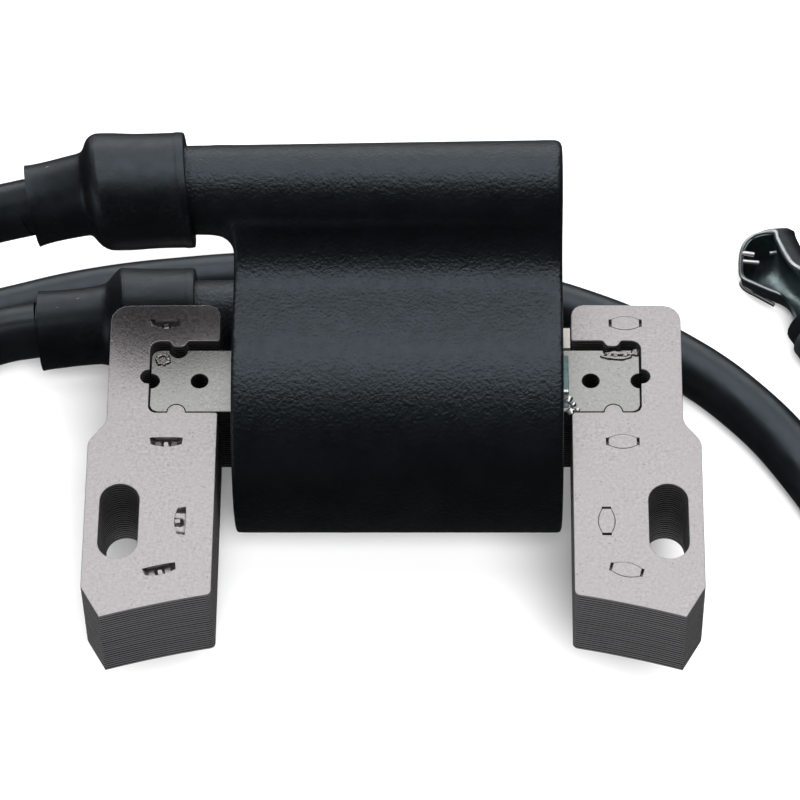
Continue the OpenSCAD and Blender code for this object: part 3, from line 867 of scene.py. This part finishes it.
def make_housing():
    """The moulding, with the upper tower blended in and every edge softened by a fine remesh."""
    bm = bmesh.new()
    bm.from_mesh(NODES["housing"].data)
    bmesh.ops.remove_doubles(bm, verts=bm.verts, dist=0.002 * MM)
    points, faces = fillet_collar(UPPER_Z)
    corners = [bm.verts.new(p * MM) for p in points]
    for face in faces:
        bm.faces.new([corners[i] for i in face])
    bmesh.ops.recalc_face_normals(bm, faces=bm.faces)
    mesh = bpy.data.meshes.new("housing_shell")
    bm.to_mesh(mesh)
    bm.free()
    shell = link(bpy.data.objects.new("housing_shell", mesh))
    remesh = shell.modifiers.new("remesh", "REMESH")
    remesh.mode = "VOXEL"
    remesh.voxel_size = VOXEL * MM
    smooth = shell.modifiers.new("smooth", "SMOOTH")
    smooth.factor = 0.5
    smooth.iterations = 8
    graph = bpy.context.evaluated_depsgraph_get()
    shell.data = bpy.data.meshes.new_from_object(shell.evaluated_get(graph))
    shell.modifiers.clear()
    shell.data.materials.clear()
    shell.data.materials.append(HOUSING.material)
    return finished(shell, "housing", ["housing"], 180)


make_housing()

# ---- boots ----

# The direction that the boots' rings lean along: up as the camera sees it, over Y and Z
UP_Y, UP_Z = 0.82, 0.57
BEND_X = -38.4


def bent_line(start, bend, end, count):
    """Stations along two straight runs with an eased bend between them."""
    first, last = (bend - start).normalized(), (end - bend).normalized()
    turn_at, ease = (bend - start).length, 3.0
    step = (turn_at + (end - bend).length) / (count - 1)
    place, line = start.copy(), []
    for i in range(count):
        share = min(1, max(0, (i * step - turn_at + ease) / (2 * ease)))
        share = share * share * (3 - 2 * share)
        line.append((i * step, place.copy(), first.lerp(last, share).normalized()))
        place += line[-1][2] * step
    return line


def between(knots, s):
    """Values eased through knots, each a position followed by its values."""
    for low, high in zip(knots, knots[1:]):
        if s <= high[0]:
            t = (s - low[0]) / (high[0] - low[0])
            t = t * t * (3 - 2 * t)
            return [a + (b - a) * t for a, b in zip(low[1:], high[1:])]
    return list(knots[-1][1:])


def make_boot(name, node, z, rim_x, mouth, outline, leans, sag):
    """A rubber boot as one skin: outside from rim to mouth, then the inside back to the rim.

    outline is (distance from the rim, radius). leans turn the plane of each ring: forward with
    height, and towards the front. sag is how far the cup's far end droops."""
    start, bend = Vector((rim_x, TOWER_Y, z)), Vector((BEND_X, TOWER_Y, z))
    line = bent_line(start, bend, Vector(mouth), 120)
    length = line[-1][0]
    fine = []
    for i in range(len(outline) - 1):
        count = 14 if outline[i + 1][0] - outline[i][0] > 2 else 4
        fine += [through(outline, (i + k / count) / (len(outline) - 1)) for k in range(count)]
    fine.append(outline[-1])

    def station(s, radius, rough=0.0):
        at = min(s / length, 1) * (len(line) - 1)
        i = min(int(at), len(line) - 2)
        centre = line[i][1].lerp(line[i + 1][1], at - i)
        along = line[i][2].lerp(line[i + 1][2], at - i).normalized()
        lean, front = between(leans, s)
        plane = Vector((-1, -UP_Y * lean - UP_Z * front, -UP_Z * lean + UP_Y * front)).normalized()
        drop = Vector((0, 0, -between(sag, s)[0]))
        made = []
        for p in ring(centre, along, radius, 96):
            p -= along * (p - centre).dot(plane) / along.dot(plane)
            p += (p - centre).normalized() * rough * noise.noise(p * 0.22) + drop
            made.append(p)
        return made

    rings = [station(s, r, 0.07) for s, r in fine]
    tower_end, bore = rim_x - TOWER_END_X, TOWER_R + 0.01
    inner = [(length, outline[-1][1] - 0.2), (length - 0.25, LEAD_D / 2 + 0.5),
             (length - 1.5, LEAD_D / 2 + 0.15), (tower_end + 0.6, LEAD_D / 2 + 0.12),
             (tower_end, bore), (0, bore)]
    rings += [station(s, r) for s, r in inner]
    points, faces = loft(rings, joined=True)
    return piece(name, points, faces, [RUBBER], "boot_rubber", [node], 40)


make_boot("upper_boot_skin", "upper_boot", UPPER_Z, -26.9, (-47.7, TOWER_Y, 23.9),
          [(0, 7.35), (0.1, 7.52), (0.9, 7.6), (1.8, 7.52), (6, 7.56), (10.6, 7.74), (11.6, 7.62),
           (12.3, 7.25), (12.8, 6.7), (13.2, 6.05), (13.6, 5.6), (14.4, 5.4), (18, 5.28), (20.4, 5.36),
           (21.6, 5.5)],
          [(0, 0.10, 0), (12, 0.15, 0), (14, 0.13, 0), (21.6, 0.19, 0)], [(0, 0), (10, 0.3), (14, 0)])
make_boot("lower_boot_skin", "lower_boot", LOWER_Z, -27.3, (-48.85, 41.9, -3.6),
          [(0, 7.3), (0.1, 7.47), (0.9, 7.55), (1.8, 7.47), (6, 7.5), (9.7, 7.62), (10.3, 7.58),
           (10.6, 7.42), (11.4, 6.6), (12.1, 5.85), (12.6, 5.55), (13.6, 5.38), (17, 5.28), (20.3, 5.36),
           (21.55, 5.48)],
          [(0, 0.05, 0), (9.5, 0.03, 0.13), (12.6, 0.03, 0.05), (15, 0.05, 0), (20.8, 0.0625, 0)],
          [(0, 0), (8, 0.15), (13, 0)])

# ---- spark plug clips ----

UPPER_CLIP_AT = (65.6, -3.2, -7.9, -72.5)
LOWER_CLIP_AT = (59.2, 42.2, -7.9, 117.9)

# Cross sections of the scoop along the clip: x, left rim y and z, right rim y and z, and the
# sideways reach on the left and right and the depth of the wall's control points
SCOOP = [
    (3.0, 2.9, -2.9, -2.9, -2.9, 2.2, -2.2, -4.7), (5.3, 1.9, -3.5, -3.4, -2.0, 1.5, -2.8, -4.5),
    (8.0, 0.8, -2.4, -3.9, 0.6, 0.7, -4.2, -4.8), (9.6, 0.9, -1.1, -3.4, 2.3, 1.2, -5.2, -5.2),
    (10.9, 1.5, 0.0, -1.9, 3.4, 2.4, -6.2, -5.6), (12.4, 2.5, 0.0, -1.1, 3.6, 3.7, -6.8, -5.8),
    (14.2, 3.7, 0.0, -1.1, 3.6, 4.8, -6.9, -5.7), (15.9, 4.7, 0.1, -1.3, 3.6, 5.4, -6.7, -5.5),
    (17.2, 4.3, 0.9, -1.5, 3.6, 4.8, -6.0, -4.8), (18.3, 3.6, 1.7, -1.8, 3.6, 3.9, -4.8, -3.0),
    (19.0, 2.9, 2.3, -0.9, 3.4, 3.0, -3.0, -0.8), (19.45, 2.1, 2.65, 0.1, 3.15, 2.1, -0.8, 1.3),
    (19.65, 1.4, 2.8, 0.8, 2.9, 1.4, 0.5, 2.4),
]
CLIP_WALL = 0.4
# Section of the edge curled over along the scoop's right side: outwards and up from the rim
FLANGE = [(0, 0), (1.0, 0), (2.3, -0.7), (3.2, -1.8), (2.9, -2.0), (2.0, -1.1), (1.0, -0.4), (0, -0.3)]
# Section of the crimp's band: along the lead and out from its surface
CRIMP = [(0.15, 0.08), (0, 0.22), (0, 0.4), (0.12, 0.5), (1.25, 0.42), (2.4, 0.5), (2.5, 0.4),
         (2.5, 0.22), (2.35, 0.08)]


def tube(path, radii, sides=12):
    """Points and faces of a round rod along the path."""
    rings = []
    for i, p in enumerate(path):
        along = (path[min(i + 1, len(path) - 1)] - path[max(i - 1, 0)]).normalized()
        rings.append(ring(p, along, radii[i], sides, up=Vector((0.31, 0.17, 0.94))))
    return loft(rings)


def make_clip(name, node, at):
    """A bent sheet scoop with rolled edges and an open crimp round the lead."""
    place = Matrix.Translation(Vector(at[:3])) @ turn(at[3], "Z")
    across, along = 22, 60
    sections = [through(SCOOP, i / along) for i in range(along + 1)]
    inner, outer = [], []
    for x, ly, lz, ry, rz, left, right, deep in sections:
        corners = [Vector((x, y, z)) for y, z in ((ly, lz), (left, deep), (right, deep), (ry, rz))]
        line = geometry.interpolate_bezier(*corners, across + 1)
        inner.append(line)
    for i, line in enumerate(inner):
        row = []
        for k, p in enumerate(line):
            ahead, behind = inner[min(i + 1, along)][k], inner[max(i - 1, 0)][k]
            right, left = line[min(k + 1, across)], line[max(k - 1, 0)]
            row.append(p + (ahead - behind).cross(right - left).normalized() * -CLIP_WALL)
        outer.append(row)
    solid = Solid()
    width = across + 1
    skins = [[p for line in skin for p in line] for skin in (inner, outer)]
    start = len(skins[0])
    faces = []
    for i in range(along):
        for k in range(across):
            a = i * width + k
            quad = (a, a + 1, a + width + 1, a + width)
            faces += [quad, tuple(start + n for n in reversed(quad))]
    border = list(range(width)) + [i * width + across for i in range(1, along + 1)]
    border += [along * width + k for k in range(across - 1, -1, -1)]
    border += [i * width for i in range(along - 1, 0, -1)]
    for a, b in zip(border, border[1:] + border[:1]):
        faces.append((a, start + a, start + b, b))
    solid.add(skins[0] + skins[1], faces)
    flange = []
    for i, line in enumerate(inner[8:]):
        share = min(1, i / 12)
        flange.append([line[-1] + Vector((0.2, -out, drop)) * share for out, drop in FLANGE])
    # The flange takes the third look, painted shade.
    solid.add(*loft(flange), kind=2)
    lip = [Vector(line[0]) for line in inner[20:]] + [Vector(line[-1]) for line in reversed(inner[10:])]
    bend = len(inner) - 20
    radii = [0.25 if i < bend + 8 else min(0.42, 0.25 + 0.03 * (i - bend - 8)) for i in range(len(lip))]
    # The lip and, below, the crimp band take the second look, a painted highlight.
    solid.add(*tube(lip, radii), kind=1)
    gap = math.radians(16)
    band = []
    for k in range(61):
        a = math.pi / 2 + gap + (2 * math.pi - 2 * gap) * k / 60
        out = Vector((0, math.cos(a), math.sin(a)))
        band.append([Vector((x, 0, 0)) + out * (LEAD_D / 2 + r) for x, r in CRIMP])
    solid.add(*loft(band), kind=1)
    solid.points = [place @ p for p in solid.points]
    looks = [CLIP, CLIP_EDGE_HIGHLIGHT, CLIP_OUTSIDE_SHADE]
    return piece(name, solid.points, solid.faces, looks, "clip_steel", [node], 50, solid.kinds)


def make_spring(name, node, at):
    """The bent wire that grips the plug: a dark run outside the scoop and bright ends inside, whose near-white colour
    is a painted highlight.
    """
    place = Matrix.Translation(Vector(at[:3])) @ turn(at[3], "Z")
    wires = [
        (0.27, [(16.9, 3.5, -2.1), (16.3, 4.5, -2.0), (15.0, 4.4, -2.0),
                (13.5, 3.5, -2.1), (11.1, 2.2, -2.2)]),
        (0.36, [(18.5, 3.3, 1.8), (18.1, 2.6, 1.7), (17.7, 1.9, 1.5)]),
        (0.32, [(17.6, 3.7, 1.2), (17.1, 2.7, 1.0), (16.6, 1.7, 0.8)]),
        (0.26, [(16.7, -1.2, 1.3), (16.85, -0.75, 1.3), (17.0, -0.3, 1.3)]),
    ]
    solid = Solid()
    for i, (radius, wire) in enumerate(wires):
        count = 6 * len(wire)
        path = [Vector(through(wire, k / count)) for k in range(count + 1)]
        # Wires after the first take the near-white look, a painted highlight.
        solid.add(*tube(path, [radius] * len(path)), kind=min(i, 1))
    solid.points = [place @ p for p in solid.points]
    return piece(name, solid.points, solid.faces, [WIRE, SPRING_TIP_HIGHLIGHT], "spring_steel", [node], 50, solid.kinds)


CLIPS = {}
for side, at in (("upper", UPPER_CLIP_AT), ("lower", LOWER_CLIP_AT)):
    CLIPS[side] = [make_clip(side + "_clip_visual", side + "_plug_clip", at),
                   make_spring(side + "_spring_visual", side + "_clip_spring", at)]

# ---- cords, last of the pieces because they name what is on them ----

LEAD_END_X = -10.3


def make_tail(name, z, mouth):
    """The lead's end inside its tower and boot, a hair thinner than the sheath it runs into."""
    line = bent_line(Vector((LEAD_END_X, TOWER_Y, z)), Vector((BEND_X, TOWER_Y, z)), Vector(mouth), 60)
    rings = [ring(centre, along, LEAD_D / 2 - 0.12, 32) for s, centre, along in line]
    points, faces = loft(rings)
    return piece(name + "_sheath", points, faces, [LEAD], "lead_sheath", [name], 40)


make_tail("upper_lead_tail", UPPER_Z, UPPER_ROUTE[0])
make_tail("lower_lead_tail", LOWER_Z, LOWER_ROUTE[0])
make_lead("upper_lead", UPPER_ROUTE, 0.4174, CLIPS["upper"])
make_lead("lower_lead", LOWER_ROUTE, 0.3191, CLIPS["lower"])

# ---- stage and light ----


def area_light(name, at, aim, size, power):
    """A rectangular lamp. Its place, aim and size are in metres."""
    data = bpy.data.lights.new(name, "AREA")
    data.shape = "RECTANGLE"
    data.size, data.size_y = size
    data.energy = power
    lamp = link(bpy.data.objects.new(name, data))
    lamp.location = at
    lamp.rotation_euler = (Vector(aim) - Vector(at)).to_track_quat("-Z", "Y").to_euler()
    return lamp


WORLD_LIGHT = 0.04  # strength of the backdrop for everything but the camera


def make_stage():
    """The floor, and a backdrop that is white to the camera and nearly dark to the pieces."""
    bpy.ops.mesh.primitive_plane_add(size=8, location=(0, 0, FLOOR_Z * MM))
    floor = bpy.context.object
    floor.name = "floor"
    look = Look("floor", (0.92, 0.92, 0.92), 0.8, Specular_IOR_Level=0.1)
    floor.data.materials.append(look.material)
    floor.visible_glossy = False
    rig.stage(floor)
    world = bpy.data.worlds.new("studio")
    bpy.context.scene.world = world
    world.use_nodes = True
    tree = world.node_tree
    back = tree.nodes["Background"]
    path = tree.nodes.new("ShaderNodeLightPath")
    mix = tree.nodes.new("ShaderNodeMix")
    mix.inputs["A"].default_value = WORLD_LIGHT
    mix.inputs["B"].default_value = 1.0
    tree.links.new(path.outputs["Is Camera Ray"], mix.inputs["Factor"])
    tree.links.new(mix.outputs["Result"], back.inputs["Strength"])
    back.inputs["Color"].default_value = (1, 1, 1, 1)


def light_only(lamp, names):
    """Links a lamp to some objects, so that it lights nothing else."""
    only = bpy.data.collections.new(lamp.name + "_receivers")
    for name in names:
        only.objects.link(bpy.data.objects[name])
    lamp.light_linking.receiver_collection = only
    return only


def floor_light(name, energy, shadows):
    """Even light from the camera's side on the floor alone, which keeps the floor pale."""
    data = bpy.data.lights.new(name, "SUN")
    data.energy = energy
    data.angle = math.radians(30)
    lamp = link(bpy.data.objects.new(name, data))
    lamp.rotation_euler = (math.radians(35), math.radians(9), 0)
    only = light_only(lamp, ["floor"])
    if not shadows:
        lamp.light_linking.blocker_collection = only


make_stage()
area_light("softbox", (0.02, 0.17, 0.45), (0.02, 0.12, 0), (0.7, 0.5), 2.6)
area_light("back_panel", (0, 0.62, 0.24), (0, 0.05, 0.03), (0.9, 0.42), 2.6)
floor_light("floor_light", 0.45, False)
floor_light("floor_shade", 3.6, True)
area_light("left_fill", (-0.5, -0.22, 0.10), (-0.04, -0.01, 0), (0.25, 0.2), 0.35)
stack_light = area_light("stack_light", (0, -0.45, 0.16), (0, -0.02, 0), (0.5, 0.2), 0.17)
light_only(stack_light, ["left_leg", "right_leg"])
bpy.context.scene.view_settings.view_transform = "Standard"

with open("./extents.json", "w") as file:
    json.dump({"cad": [list(p) for p in cad_box], "visual": [list(p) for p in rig.bounds()]}, file)
